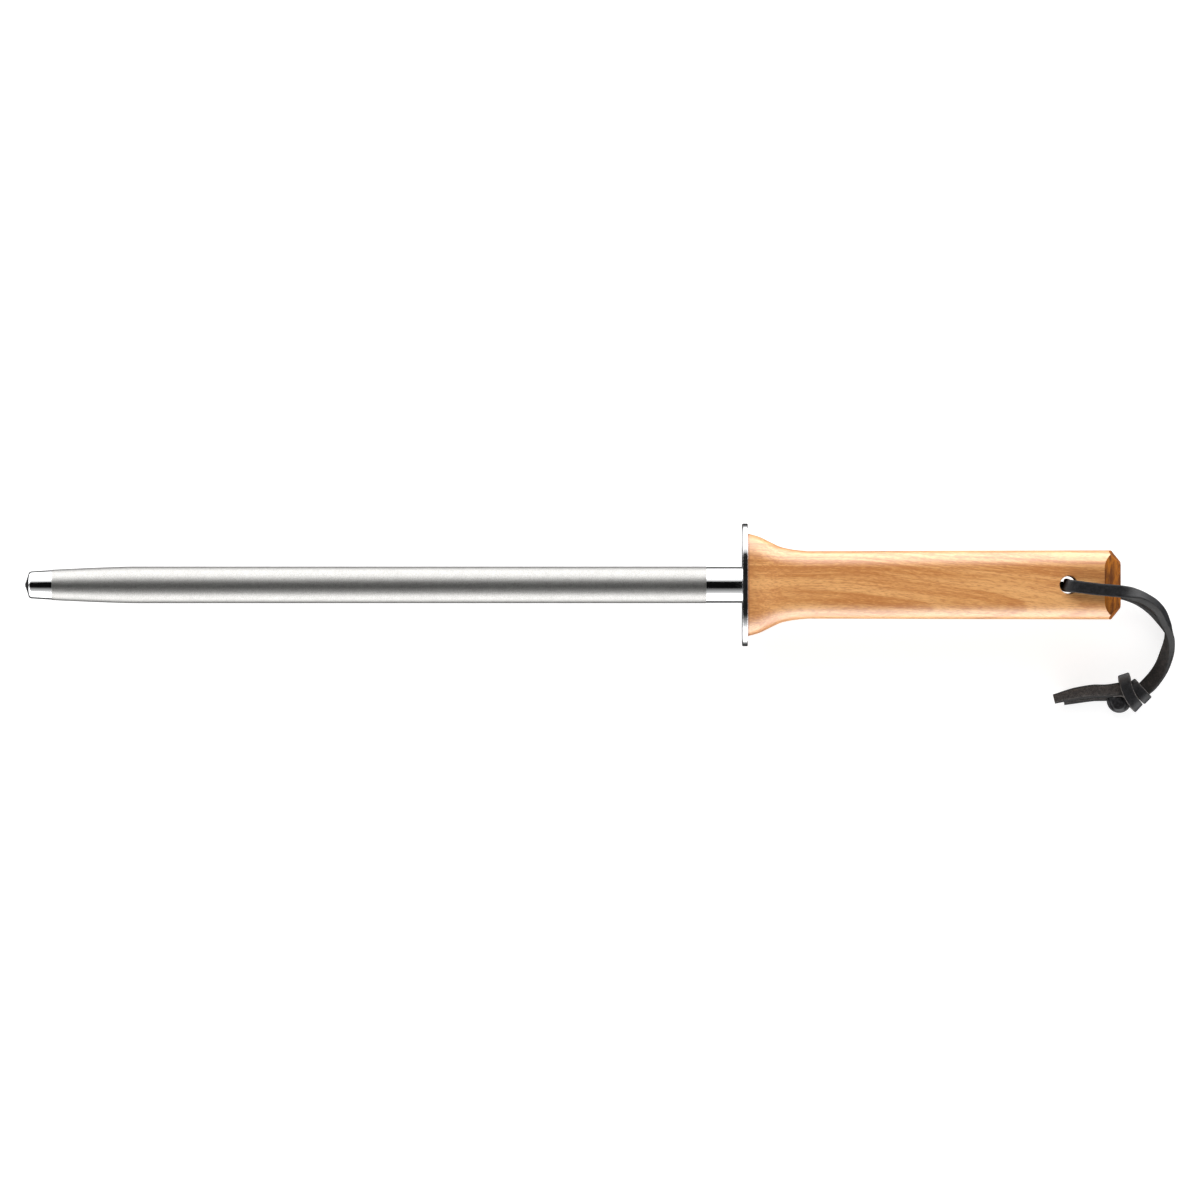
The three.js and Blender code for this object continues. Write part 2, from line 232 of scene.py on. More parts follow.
FRONT_STRAND_ROLL = [
    90, 55, 12, 0, 0, 0, 0, 4, 35, 55, 60, 61, 66, 82, 106, 128, 145, 162, 172, 178,
]
BACK_STRAND_ROUTE = [
    (-0.0006, -0.0001, 0.01635),
    (-0.0005, -0.0001, 0.0116),
    (-0.0002, -0.00015, 0.0086),
    (0.0004, -0.0003, 0.0064),
    (0.0019, -0.00045, 0.00515),
    (0.0053, -0.0011, 0.0049),
    (0.011, -0.0019, 0.00485),
    (0.0176, -0.00265, 0.0046),
    (0.0216, -0.00365, 0.0042),
    (0.0241, -0.00465, 0.0038),
    (0.0279, -0.0071, 0.0032),
    (0.0306, -0.0097, 0.0028),
    (0.0326, -0.01255, 0.0027),
    (0.03395, -0.0152, 0.0026),
    (0.0345, -0.0178, 0.00255),
    (0.0343, -0.02065, 0.0025),
    (0.0337, -0.0234, 0.0023),
    (0.0322, -0.02755, 0.0018),
    (0.0305, -0.0304, 0.00155),
    (0.02825, -0.03315, 0.00145),
]
BACK_STRAND_ROLL = [
    -90, -50, -12, 0, 0, 0, 0, 0, 8, 15, 24, 38, 60, 83, 106, 130, 150, 168, 176, 180,
]
UPPER_TAIL_ROUTE = [
    (0.0138, -0.0355, 0.00445),
    (0.0092, -0.0356, 0.00435),
    (0.0052, -0.0361, 0.0043),
    (0.0012, -0.03692, 0.0042),
    (-0.0042, -0.0383, 0.0041),
]
LOWER_TAIL_ROUTE = [
    (0.0138, -0.0369, 0.00155),
    (0.0092, -0.037, 0.0015),
    (0.0052, -0.03742, 0.00145),
    (0.0022, -0.03795, 0.00145),
    (-0.0009, -0.0385, 0.00145),
]
# The visible strands and tails go on into the knot, past the ends they share with the CAD part.
# The strands end at this x and y, and the tails start at this x, shifted by this much in y.
STRAND_END_IN_KNOT = (0.0256, -0.0353)
TAIL_START_IN_KNOT = (0.0184, 0.0006)


def lace_section(width, thickness, corner):
    """A flat lace's section as (across, up) points, with the side that each belongs to."""
    points, sides = [], []
    half_width, half_thick = width / 2, thickness / 2
    corner = min(corner, half_thick * 0.9, half_width * 0.9)
    inner_across, inner_up = half_width - corner, half_thick - corner
    flat_steps, corner_steps, edge_steps = 8, 3, 3
    for i in range(flat_steps):
        share = i / flat_steps
        points.append((inner_across - share * (width - 2 * corner), half_thick))
        sides.append(TOP)
    for i in range(corner_steps):
        angle = math.pi / 2 + i / corner_steps * math.pi / 2
        across, up = corner * math.cos(angle), corner * math.sin(angle)
        points.append((across - inner_across, up + inner_up))
        sides.append(TOP if i < 1 else EDGE)
    for i in range(edge_steps):
        share = i / edge_steps
        points.append((-half_width, inner_up - share * (thickness - 2 * corner)))
        sides.append(EDGE)
    for i in range(corner_steps):
        angle = math.pi + i / corner_steps * math.pi / 2
        across, up = corner * math.cos(angle), corner * math.sin(angle)
        points.append((across - inner_across, up - inner_up))
        sides.append(EDGE if i < 2 else UNDER)
    mirrored = [(-a, -b) for a, b in points]
    swap = {TOP: UNDER, EDGE: EDGE, UNDER: TOP}
    return np.array(points + mirrored), [*sides, *(swap[s] for s in sides)]


def level_frames(line, turn):
    """The across and up directions of a lace that lies level, turned about its line by angles."""
    tangent = unit(np.gradient(line, axis=0))
    level = np.column_stack([tangent[:, 1], -tangent[:, 0], np.zeros(len(line))])
    level[np.abs(tangent[:, 2]) > STEEP] = (0, -1, 0)
    level = unit(level)
    up = np.cross(level, tangent)
    c, s = np.cos(turn)[:, None], np.sin(turn)[:, None]
    return level * c + up * s, up * c - level * s


def sweep(line, across, up, section, sides, widths=None, wrinkle=None):
    """Vertices, faces and face sides of a lace along a line.

    wrinkle gives each point of a section its offset outwards.
    """
    rings = len(line)
    count = len(section)
    widths = np.ones(rings) if widths is None else widths
    verts = []
    for i in range(rings):
        a = section[:, 0] * widths[i]
        b = section[:, 1]
        ring = line[i] + a[:, None] * across[i] + b[:, None] * up[i]
        if wrinkle is not None:
            out = unit(a[:, None] * across[i] / LACE_WIDTH + b[:, None] * up[i] / LACE_THICKNESS)
            ring = ring + out * wrinkle(i, section)[:, None]
        verts.append(ring)
    faces = ring_faces(rings, count)
    face_sides = [sides[i] for _ in range(rings - 1) for i in range(count)] + [EDGE, EDGE]
    return np.vstack(verts), faces, face_sides


def smooth_noise(seed, scale):
    """A repeatable bumpy function of a point, between about -1 and 1."""
    count, gain = 7, 1.8
    rng = np.random.default_rng(seed)
    waves = rng.normal(size=(count, 3)) / scale
    phases = rng.uniform(0, 2 * math.pi, count)

    def value(points):
        return np.sin(points @ waves.T + phases).mean(axis=1) * gain

    return value


def place(points):
    """Route points, which are relative to the hole's axis, in the row frame."""
    return np.array(points, float) + np.array([HOLE_X, 0, 0])


# -------------------------------------- node helpers

class Nodes:
    """A node tree that is being built."""

    def __init__(self, tree):
        self.tree = tree

    def node(self, kind, **settings):
        node = self.tree.nodes.new(kind)
        for key, value in settings.items():
            setattr(node, key, value)
        return node

    def link(self, source, target):
        self.tree.links.new(source, target)

    def put(self, socket, value):
        if isinstance(value, bpy.types.NodeSocket):
            self.link(value, socket)
        else:
            socket.default_value = value

    def math(self, operation, *values):
        node = self.node("ShaderNodeMath", operation=operation)
        for socket, value in zip(node.inputs, values):
            self.put(socket, value)
        return node.outputs[0]


class Shader(Nodes):
    """One material's nodes."""

    def __init__(self, name):
        self.material = bpy.data.materials.new(name)
        self.material.use_nodes = True
        super().__init__(self.material.node_tree)
        self.bsdf = self.tree.nodes["Principled BSDF"]
        self.coordinates = self.node("ShaderNodeTexCoord").outputs["Object"]

    def parts(self):
        """The x, y and z of the shaded place."""
        node = self.node("ShaderNodeSeparateXYZ")
        self.link(self.coordinates, node.inputs[0])
        return node.outputs

    def vector(self, *values):
        node = self.node("ShaderNodeCombineXYZ")
        for value, socket in zip(values, node.inputs):
            self.link(value, socket)
        return node.outputs[0]

    def stretched(self, scale, vector=None):
        node = self.node("ShaderNodeVectorMath", operation="MULTIPLY")
        self.put(node.inputs[0], self.coordinates if vector is None else vector)
        node.inputs[1].default_value = scale
        return node.outputs[0]

    def noise(self, vector, scale, detail=3.0, roughness=0.55, distortion=0.0):
        node = self.node("ShaderNodeTexNoise")
        self.link(vector, node.inputs["Vector"])
        node.inputs["Scale"].default_value = scale
        node.inputs["Detail"].default_value = detail
        node.inputs["Roughness"].default_value = roughness
        node.inputs["Distortion"].default_value = distortion
        return node.outputs["Fac"]

    def range(self, value, low, high, to_low=0.0, to_high=1.0):
        """The value's smooth way from low to high, as the way between two other numbers."""
        node = self.node("ShaderNodeMapRange", interpolation_type="SMOOTHSTEP")
        self.link(value, node.inputs["Value"])
        sockets = ("From Min", "From Max", "To Min", "To Max")
        for socket, number in zip(sockets, (low, high, to_low, to_high)):
            node.inputs[socket].default_value = number
        return node.outputs["Result"]

    def mix(self, factor, a, b):
        node = self.node("ShaderNodeMix", data_type="RGBA")
        self.put(node.inputs[0], factor)
        for socket, colour in ((node.inputs[6], a), (node.inputs[7], b)):
            self.put(socket, (*colour, 1.0) if isinstance(colour, tuple) else colour)
        return node.outputs[2]

    def bump(self, height, distance, strength):
        node = self.node("ShaderNodeBump")
        node.inputs["Strength"].default_value = strength
        node.inputs["Distance"].default_value = distance
        self.link(height, node.inputs["Height"])
        return node.outputs["Normal"]

    def finish(self, **inputs):
        for name, value in inputs.items():
            socket = self.bsdf.inputs[name.replace("_", " ")]
            if isinstance(value, tuple):
                value = (*value, 1.0)
            self.put(socket, value)
        return self.material


def srgb(red, green, blue):
    """A display colour from 0 to 255 as linear light."""
    return tuple(
        ((c / 255 + 0.055) / 1.055) ** 2.4 if c > 10 else c / 255 / 12.92
        for c in (red, green, blue)
    )


# -------------------------------------- materials

def polished_steel(name, roughness, tint):
    s = Shader(name)
    hairlines = s.noise(s.stretched((90.0, 900.0, 900.0)), 3.0, detail=2.0)
    smudge = s.noise(s.coordinates, 60.0, detail=2.0)
    rough = s.range(hairlines, 0.3, 0.7, roughness * 0.8, roughness * 1.2)
    rough = s.math("ADD", rough, s.math("MULTIPLY", smudge, 0.03))
    colour = s.mix(s.range(hairlines, 0.2, 0.8), tuple(c * 0.94 for c in tint), tint)
    normal = s.bump(hairlines, 0.00001, 0.15)
    return s.finish(Base_Color=colour, Metallic=1.0, Roughness=rough, Normal=normal)


def diamond_grit():
    s = Shader("diamond_grit")
    grains = s.noise(s.coordinates, 3600.0, detail=3.0, roughness=0.7)
    patches = s.noise(s.coordinates, 420.0, detail=3.0)
    tone = s.math("ADD", s.math("MULTIPLY", grains, 0.88), s.math("MULTIPLY", patches, 0.12))
    colour = s.mix(s.range(tone, 0.32, 0.68), srgb(132, 131, 129), srgb(164, 163, 161))
    rough = s.range(grains, 0.3, 0.7, 0.38, 0.48)
    normal = s.bump(grains, 0.00005, 0.4)
    return s.finish(Base_Color=colour, Metallic=1.0, Roughness=rough, Normal=normal)


CATHEDRAL_TIP = 0.117  # the x past which the arched growth rings close
CATHEDRAL_AXIS = (-0.0065, 0.026)  # y and z of the arches' middle line
CATHEDRAL_LENGTHEN = 0.12  # how fast the rings pass before the tip
CATHEDRAL_SPREAD = 430.0  # how fast the rings pass away from the middle line


def beech_grain(s):
    """The rings, bands, streaks, flecks and pores of the wood, as five values."""
    x, y, z = s.parts()
    sway = s.noise(s.stretched((14.0, 20.0, 20.0)), 1.0, detail=1.0)
    sway = s.math("MULTIPLY", s.math("SUBTRACT", sway, 0.5), 0.010)
    rise = s.math("MULTIPLY", s.range(x, 0.105, 0.185), 0.010)
    fibre = s.vector(x, s.math("ADD", y, s.math("ADD", sway, rise)), z)

    from_y = s.math("SUBTRACT", s.math("ADD", y, sway), CATHEDRAL_AXIS[0])
    from_z = s.math("SUBTRACT", z, CATHEDRAL_AXIS[1])
    spread = s.math("ADD", s.math("MULTIPLY", from_y, from_y), s.math("MULTIPLY", from_z, from_z))
    past_tip = s.math("MAXIMUM", s.math("SUBTRACT", x, CATHEDRAL_TIP), 0.0)
    arch = s.math("ADD", past_tip, s.math("MULTIPLY", spread, CATHEDRAL_SPREAD))
    ring = s.math("ADD", s.math("MULTIPLY", x, CATHEDRAL_LENGTHEN), arch)
    ring_place = s.vector(s.math("MULTIPLY", ring, 70.0), s.math("MULTIPLY", x, 8.0))
    rings = s.noise(ring_place, 1.0, detail=2.5, roughness=0.6)

    bands = s.noise(s.stretched((10.0, 230.0, 150.0), fibre), 1.0, detail=2.0, distortion=0.3)
    streaks = s.noise(s.stretched((60.0, 1300.0, 1000.0), fibre), 1.0, detail=3.0, roughness=0.6)
    flecks = s.noise(s.stretched((480.0, 3000.0, 3000.0), fibre), 1.0, detail=2.0, roughness=0.55)
    pores = s.noise(s.stretched((1000.0, 7000.0, 7000.0), fibre), 1.0, detail=2.0)
    return rings, bands, streaks, flecks, pores


FRONT_SHADE_FULL, FRONT_SHADE_GONE = 0.2 * MM, 0.8 * MM  # from the handle's front: painted shade, the dark line where the wood meets the guard


def beech():
    s = Shader("beech")
    rings, bands, streaks, flecks, pores = beech_grain(s)
    light, middle, dark = srgb(229, 171, 106), srgb(192, 123, 56), srgb(172, 99, 40)
    tone = s.math("ADD", s.math("MULTIPLY", rings, 0.45), s.math("MULTIPLY", bands, 0.3))
    tone = s.math("ADD", tone, s.math("MULTIPLY", streaks, 0.25))
    colour = s.mix(s.range(tone, 0.41, 0.57), light, middle)
    colour = s.mix(s.range(rings, 0.56, 0.72, 0.0, 0.30), colour, dark)
    colour = s.mix(s.range(flecks, 0.45, 0.70, 0.0, 0.60), colour, dark)
    colour = s.mix(s.range(flecks, 0.46, 0.30, 0.0, 0.55), colour, light)
    colour = s.mix(s.range(pores, 0.55, 0.75, 0.0, 0.35), colour, dark)
    # painted shade: the wood is darkened just behind its front, where it meets the guard
    front_shade_low, front_shade_high = HANDLE_LOW.x + FRONT_SHADE_FULL, HANDLE_LOW.x + FRONT_SHADE_GONE
    front_shade = s.range(s.parts()[0], front_shade_low, front_shade_high, 0.7, 0.0)
    colour = s.mix(front_shade, colour, srgb(150, 76, 20))
    rough = s.range(streaks, 0.3, 0.7, 0.40, 0.52)
    height = s.math("ADD", s.math("MULTIPLY", flecks, -0.6), s.math("MULTIPLY", pores, -0.4))
    normal = s.bump(height, 0.00010, 0.35)
    return s.finish(
        Base_Color=colour, Roughness=rough, Normal=normal, Specular_IOR_Level=0.75,
        Coat_Weight=1.0, Coat_Roughness=0.32, Coat_IOR=1.6,
    )


def beech_end_grain(name, dark, light):
    """Cut wood between two display colours."""
    s = Shader(name)
    dark, light = srgb(*dark), srgb(*light)
    stretched = s.stretched((500.0, 180.0, 700.0))
    rays = s.noise(stretched, 1.0, detail=3.0, roughness=0.6, distortion=0.5)
    dots = s.noise(s.coordinates, 2600.0, detail=2.0)
    colour = s.mix(s.range(rays, 0.30, 0.72), dark, light)
    colour = s.mix(s.range(dots, 0.52, 0.72, 0.0, 0.4), colour, tuple(c * 0.5 for c in dark))
    normal = s.bump(dots, 0.0001, 0.4)
    return s.finish(Base_Color=colour, Roughness=0.6, Normal=normal, Specular_IOR_Level=0.15)


def leather_side(name, dark, light, roughness, grain_scale, depth):
    """One side of the lace between two display colours, with pebbles of a scale and a depth."""
    s = Shader(name)
    pebbles = s.noise(s.coordinates, grain_scale, detail=4.0, roughness=0.7)
    worn = s.noise(s.coordinates, grain_scale * 0.25, detail=3.0)
    tone = s.math("ADD", s.math("MULTIPLY", pebbles, 0.65), s.math("MULTIPLY", worn, 0.35))
    colour = s.mix(s.range(tone, 0.40, 0.62), srgb(*dark), srgb(*light))
    rough = s.range(pebbles, 0.3, 0.7, roughness * 0.8, min(1.0, roughness * 1.2))
    normal = s.bump(pebbles, depth, 0.8)
    return s.finish(Base_Color=colour, Roughness=rough, Normal=normal, Specular_IOR_Level=0.35)


def set_epoxy():
    s = Shader("set_epoxy")
    cloud = s.noise(s.coordinates, 300.0)
    colour = s.mix(cloud, srgb(178, 160, 110), srgb(206, 192, 148))
    return s.finish(Base_Color=colour, Roughness=0.5, Normal=s.bump(cloud, 0.0001, 0.3))


STEEL = polished_steel("polished_steel", 0.09, (0.86, 0.865, 0.87))
GUARD_STEEL = polished_steel("guard_steel", 0.16, (0.80, 0.80, 0.81))
GRIT = diamond_grit()
BEECH = beech()
END_GRAIN = beech_end_grain("beech_end_grain", (88, 44, 4), (164, 94, 12))
CUT_EDGE = beech_end_grain("beech_cut_edge", (186, 104, 38), (226, 152, 80))
GRAIN_SIDE = leather_side("leather_grain_side", (6, 6, 8), (32, 32, 35), 0.5, 2200.0, 0.00009)
CUT_SIDE = leather_side("leather_cut_side", (4, 4, 4), (22, 20, 20), 0.6, 2600.0, 0.00012)
FLESH_SIDE = leather_side("leather_flesh_side", (6, 5, 4), (46, 40, 37), 0.7, 2400.0, 0.00014)
# painted highlight: the tails' tops are lighter, partly the leather's own tone and partly the light
# band along their rounded tops
TAIL_TOP_HIGHLIGHT = leather_side("leather_tail_top_highlight", (30, 27, 26), (78, 73, 70), 0.65, 3800.0, 0.00016)
# painted shade: the tails' edges are near black, for the shade that falls on them
TAIL_EDGE_SHADE = leather_side("leather_tail_edge_shade", (2, 2, 2), (12, 11, 11), 0.75, 2600.0, 0.00012)
# painted highlight: the knot's strap edges are lighter, for the light that catches them
KNOT_EDGE_HIGHLIGHT = leather_side("leather_knot_edge_highlight", (30, 28, 27), (92, 87, 84), 0.6, 2600.0, 0.00012)
# The materials of a lace's top, edge and underside.
LEATHER = [GRAIN_SIDE, CUT_SIDE, FLESH_SIDE]
TURNED_OVER = [FLESH_SIDE, CUT_SIDE, GRAIN_SIDE]
# The knot has a painted highlight on its strap edges.
KNOT_LEATHER = [FLESH_SIDE, KNOT_EDGE_HIGHLIGHT, GRAIN_SIDE]
# The tails have a painted highlight on their tops and painted shade on their edges.
TAIL_LEATHER = [TAIL_TOP_HIGHLIGHT, TAIL_EDGE_SHADE, GRAIN_SIDE]


# -------------------------------------- the thong

LACE_BUMP_SIZE, LACE_BUMP_HEIGHT = 2.2 * MM, 0.05 * MM
WIDTH_CHANGE_FROM = 0.68  # the share of a route where a lace's last change of width starts
STRAND_WIDTH_SHARE = (1, 1, 1.26)
TAIL_CORNER, TAIL_THICKNESS = 1.12 * MM, 2.55 * MM


def lace_piece(
    name, route, rolls, width_share, materials, seed, corner=LACE_CORNER, thickness=LACE_THICKNESS
):
    """A strand or a tail along a route, with the line that it follows.

    width_share is the lace's width against its usual one at the route's start, at
    WIDTH_CHANGE_FROM and at its end.
    """
    path = np.column_stack([place(route), np.radians(rolls)])
    carried = route_line(path, LACE_STEP)
    line, roll = carried[:, :3], carried[:, 3]
    across, up = level_frames(line, roll)
    section, sides = lace_section(LACE_WIDTH, thickness, corner)
    bumpy = smooth_noise(seed, LACE_BUMP_SIZE)
    share = np.linspace(0, 1, len(line))
    widths = np.interp(share, (0, WIDTH_CHANGE_FROM, 1), width_share)

    def wrinkle(i, points):
        here = line[i] + points[:, :1] * across[i] + points[:, 1:] * up[i]
        return bumpy(here) * LACE_BUMP_HEIGHT

    verts, faces, face_sides = sweep(line, across, up, section, sides, widths, wrinkle)
    obj = mesh_object(name, verts, faces, materials, face_sides, sharp_angle=60.0)
    return fix_normals(obj), line


def strand_piece(name, route, rolls, materials, seed):
    """A strand, broader towards the knot, carried on a little way into it."""
    end = (*STRAND_END_IN_KNOT, route[-1][2])
    rolls = [*rolls, rolls[-1]]
    return lace_piece(name, [*route, end], rolls, STRAND_WIDTH_SHARE, materials, seed)


front_strand, front_line = strand_piece(
    "thong_front_lace", FRONT_STRAND_ROUTE, FRONT_STRAND_ROLL, LEATHER, seed=3
)
back_strand, back_line = strand_piece(
    "thong_back_lace", BACK_STRAND_ROUTE, BACK_STRAND_ROLL, TURNED_OVER, seed=4
)


def tail_piece(name, route, width_share, seed):
    """A tail with soft corners, carried on a little way into the knot."""
    x, y = TAIL_START_IN_KNOT
    start = (x, route[0][1] + y, route[0][2])
    rolls = [0] * (len(route) + 1)
    piece, _ = lace_piece(
        name, [start, *route], rolls, width_share, TAIL_LEATHER, seed, TAIL_CORNER, TAIL_THICKNESS
    )
    return piece


upper_tail = tail_piece("thong_upper_tail_lace", UPPER_TAIL_ROUTE, (1.12, 1.02, 0.8), seed=5)
lower_tail = tail_piece("thong_lower_tail_lace", LOWER_TAIL_ROUTE, (1.0, 1.0, 0.92), seed=6)


KNOT_STEP = LACE_STEP * 0.8
KNOT_BUMP_SIZE, KNOT_BUMP_HEIGHT = 1.9 * MM, 0.06 * MM
CORE_CORNER = 0.8 * MM


def strap_through(points, width, thickness, closed, seed, corner=LACE_CORNER):
    """A strap of the knot, as vertices, faces and face sides."""
    if closed:
        points = [*points, points[0]]
    given = np.array(points, float)
    path = np.column_stack([place(given[:, :3] * MM), np.radians(given[:, 3])])
    carried = route_line(path, KNOT_STEP)
    line, angle = carried[:, :3], carried[:, 3]
    tangent = unit(np.gradient(line, axis=0))
    if closed:
        tangent[0] = tangent[-1] = unit(line[1] - line[-2])
    hints = np.column_stack([np.cos(angle), np.sin(angle), np.zeros(len(line))])
    across = unit(hints - tangent * (hints * tangent).sum(axis=1, keepdims=True))
    up = np.cross(across, tangent)
    section, sides = lace_section(width * MM, thickness * MM, corner)
    bumpy = smooth_noise(seed, KNOT_BUMP_SIZE)

    def wrinkle(i, pts):
        here = line[i] + pts[:, :1] * across[i] + pts[:, 1:] * up[i]
        return bumpy(here) * KNOT_BUMP_HEIGHT

    return sweep(line, across, up, section, sides, wrinkle=wrinkle)


# The bend, in millimetres from the hole's axis, with heights above the table.
BEND_CENTRE = (17.75, -38.75)
BEND_RADIUS = 4.2
BEND_TOP, BEND_RIM, BEND_BOTTOM = 5.0, 2.7, 0.35
BEND_ROUNDNESS = 0.62  # below 1, the dome is flatter on top and steeper at its rim
CREASE_SPACING, CREASE_SWAY = 1.5, 5.0
CREASE_HEIGHT, LUMP_HEIGHT, PUCKER_HEIGHT = 0.11, 0.28, 0.26
LUMP_SIZE, PUCKER_SIZE = 1.5, 0.75
SMOOTH_CENTRE = 0.8  # the radius inside which the creases fade out
RIM_FADE = 1.6  # the larger, the closer to the rim the creases reach


def puckered_bend(seed):
    """The lace bent tightly on its flat: a low dome with creases that run round its centre."""
    rings, segments = 34, 84
    uneven = smooth_noise(seed, LUMP_SIZE * MM)
    puckers = smooth_noise(seed + 1, PUCKER_SIZE * MM)
    verts, faces = [], []
    for layer, direction in ((0, 1), (1, -1)):
        reach = BEND_TOP - BEND_RIM if direction > 0 else BEND_RIM - BEND_BOTTOM
        for i in range(rings):
            share = (i + 0.5) / rings
            radius = BEND_RADIUS * math.sin(share * math.pi / 2)
            swell = math.cos(share * math.pi / 2) ** BEND_ROUNDNESS
            for j in range(segments):
                angle = j / segments * 2 * math.pi
                x = BEND_CENTRE[0] + radius * math.cos(angle)
                y = BEND_CENTRE[1] + radius * math.sin(angle)
                level = reach * swell
                if direction > 0:
                    at = place([(x * MM, y * MM, level * MM)])
                    lump = float(uneven(at)[0])
                    pucker = float(puckers(at)[0])
                    inward = (BEND_RADIUS - radius) / CREASE_SPACING
                    crease = math.cos(2 * math.pi * inward + CREASE_SWAY * lump)
                    fade = min(1.0, swell * RIM_FADE) * min(1.0, radius / SMOOTH_CENTRE)
                    level += fade * (
                        CREASE_HEIGHT * crease + LUMP_HEIGHT * lump + PUCKER_HEIGHT * pucker
                    )
                verts.append(place([(x * MM, y * MM, (BEND_RIM + direction * level) * MM)])[0])
        start = layer * rings * segments
        for i in range(rings - 1):
            for j in range(segments):
                a = start + i * segments + j
                b = start + i * segments + (j + 1) % segments
                if direction > 0:
                    faces.append((a, a + segments, b + segments, b))
                else:
                    faces.append((a, b, b + segments, a + segments))
        cap = tuple(start + j for j in range(segments))
        faces.append(cap if direction > 0 else cap[::-1])
    outer, under = (rings - 1) * segments, (2 * rings - 1) * segments
    for j in range(segments):
        k = (j + 1) % segments
        faces.append((outer + j, under + j, under + k, outer + k))
    return verts, faces, [UNDER] * len(faces)


# Each strap's (x, y, z, angle) points: millimetres from the hole's axis, with the height above the
# table, and the direction of the strap's side in plan, in degrees.
KNOT_STRAPS = [
    # the wrap at the left, over both laces
    dict(points=[
        (20.03, -34.46, 7.9, 25), (20.74, -36.34, 8, 30), (21.66, -38.12, 7.8, 34),
        (22.65, -39.56, 7.3, 42), (23.4, -40.5, 6.1, 46), (23.6, -40.7, 4.4, 46),
        (23.4, -40.5, 2.7, 46), (22.6, -39.51, 1.6, 42), (21.29, -37.43, 1.35, 32),
        (20.03, -34.46, 1.4, 25), (19.57, -32.38, 1.9, 20), (19.43, -31.2, 3.2, 19),
        (19.39, -30.9, 4.8, 19), (19.47, -31.29, 6.4, 19), (19.62, -32.48, 7.5, 20),
    ], width=3.9, thickness=2.2, closed=True, seed=11),
    # the wrap at the right
    dict(points=[
        (22.7, -33.73, 6.5, 38), (23.6, -34.82, 6.9, 38), (24.8, -36.09, 6.9, 39),
        (25.8, -37.18, 6.4, 43), (26.5, -37.91, 5.3, 45), (26.7, -38.1, 3.9, 45),
        (26.5, -37.91, 2.5, 45), (25.7, -37.09, 1.5, 42), (24.3, -35.64, 1.35, 39),
        (23.1, -34.27, 1.6, 38), (22.4, -33.36, 2.8, 38), (22.2, -33.18, 4.2, 38),
        (22.3, -33.27, 5.5, 38),
    ], width=3.5, thickness=2.1, closed=True, seed=12),
    # the two laces inside the wraps, the front strand's and the back strand's
    dict(points=[
        (26.8, -33.8, 4.3, 134), (24.8, -35.5, 4.3, 125), (21.8, -36.3, 4.5, 97),
        (18.8, -35.4, 4.6, 80), (15.6, -35.5, 4.4, 90),
    ], width=4.4, thickness=2.2, closed=False, seed=13, corner=CORE_CORNER),
    dict(points=[
        (27, -34.1, 1.5, 134), (25, -35.9, 1.7, 125), (21.8, -37.2, 1.8, 97),
        (18.6, -37, 1.7, 90), (15.2, -36.8, 1.55, 90),
    ], width=3.9, thickness=2.2, closed=False, seed=14, corner=CORE_CORNER),
    # a short fold between them
    dict(points=[
        (21, -35, 3.4, 50), (19, -33.9, 3.3, 48), (18.1, -34.5, 3.2, 46),
    ], width=3.0, thickness=2.6, closed=False, seed=16, corner=CORE_CORNER),
]


def knot():
    """The overhand knot in both strands: its straps and the puckered bend at its lower left."""
    straps = [strap_through(**strap) for strap in KNOT_STRAPS]
    straps.append(puckered_bend(seed=15))
    verts, faces, sides, start = [], [], [], 0
    for strap_verts, strap_faces, strap_sides in straps:
        verts.extend(strap_verts)
        faces.extend(tuple(start + i for i in face) for face in strap_faces)
        sides.extend(strap_sides)
        start += len(strap_verts)
    obj = mesh_object("thong_knot_lace", verts, faces, KNOT_LEATHER, sides, sharp_angle=60.0)
    return fix_normals(obj)


knot_piece = knot()

THONG = {
    front_strand: "thong_front_strand",
    back_strand: "thong_back_strand",
    knot_piece: "thong_knot",
    upper_tail: "thong_upper_tail",
    lower_tail: "thong_lower_tail",
}
for piece, node in THONG.items():
    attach(piece, "thong")
    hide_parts(node)


# -------------------------------------- rod and coating

ROD_RADIUS = (ROD_HIGH.z - ROD_LOW.z) / 2
TIP_X = ROD_LOW.x
TIP_NOSE_LENGTH, TIP_NOSE_RADIUS, TIP_NOSE_TURN = 0.42 * MM, 1.0 * MM, math.radians(68)
TIP_CONE_LENGTH, TIP_CONE_RADIUS = 1.15 * MM, 3.6 * MM
TIP_SHOULDER_LENGTH, TIP_SHOULDER_RADIUS = 1.25 * MM, 4.55 * MM
TAPER_LENGTH = 27 * MM
TAPER_START_RADIUS = 4.95 * MM
TAPER_POWER = 1.25
NECK_EASE = 0.12 * MM
TANG_RADIUS, TANG_CHAMFER = 4 * MM, 1 * MM
TANG_GROOVES = 4
TANG_GROOVE_START, TANG_GROOVE_PITCH = 16, 14  # in millimetres, behind the guard's front
TANG_GROOVE_WIDTH, TANG_GROOVE_DEPTH = 3 * MM, 0.6 * MM
COAT_EASE = 0.1 * MM
COAT_SINK = 0.02 * MM  # how far the layer's inside lies in the rod
COAT_THICKNESS = (COAT_HIGH.z - COAT_LOW.z) / 2 - ROD_RADIUS
COAT_START, COAT_END = COAT_LOW.x, COAT_HIGH.x


def taper_points(extra, steps=24):
    """The tapered stretch's (radius, x) points, with an extra on the radius."""
    points = []
    for i in range(steps + 1):
        share = i / steps
        radius = ROD_RADIUS - (ROD_RADIUS - TAPER_START_RADIUS) * (1 - share) ** TAPER_POWER
        points.append((radius + extra, COAT_START + share * TAPER_LENGTH))
    return points


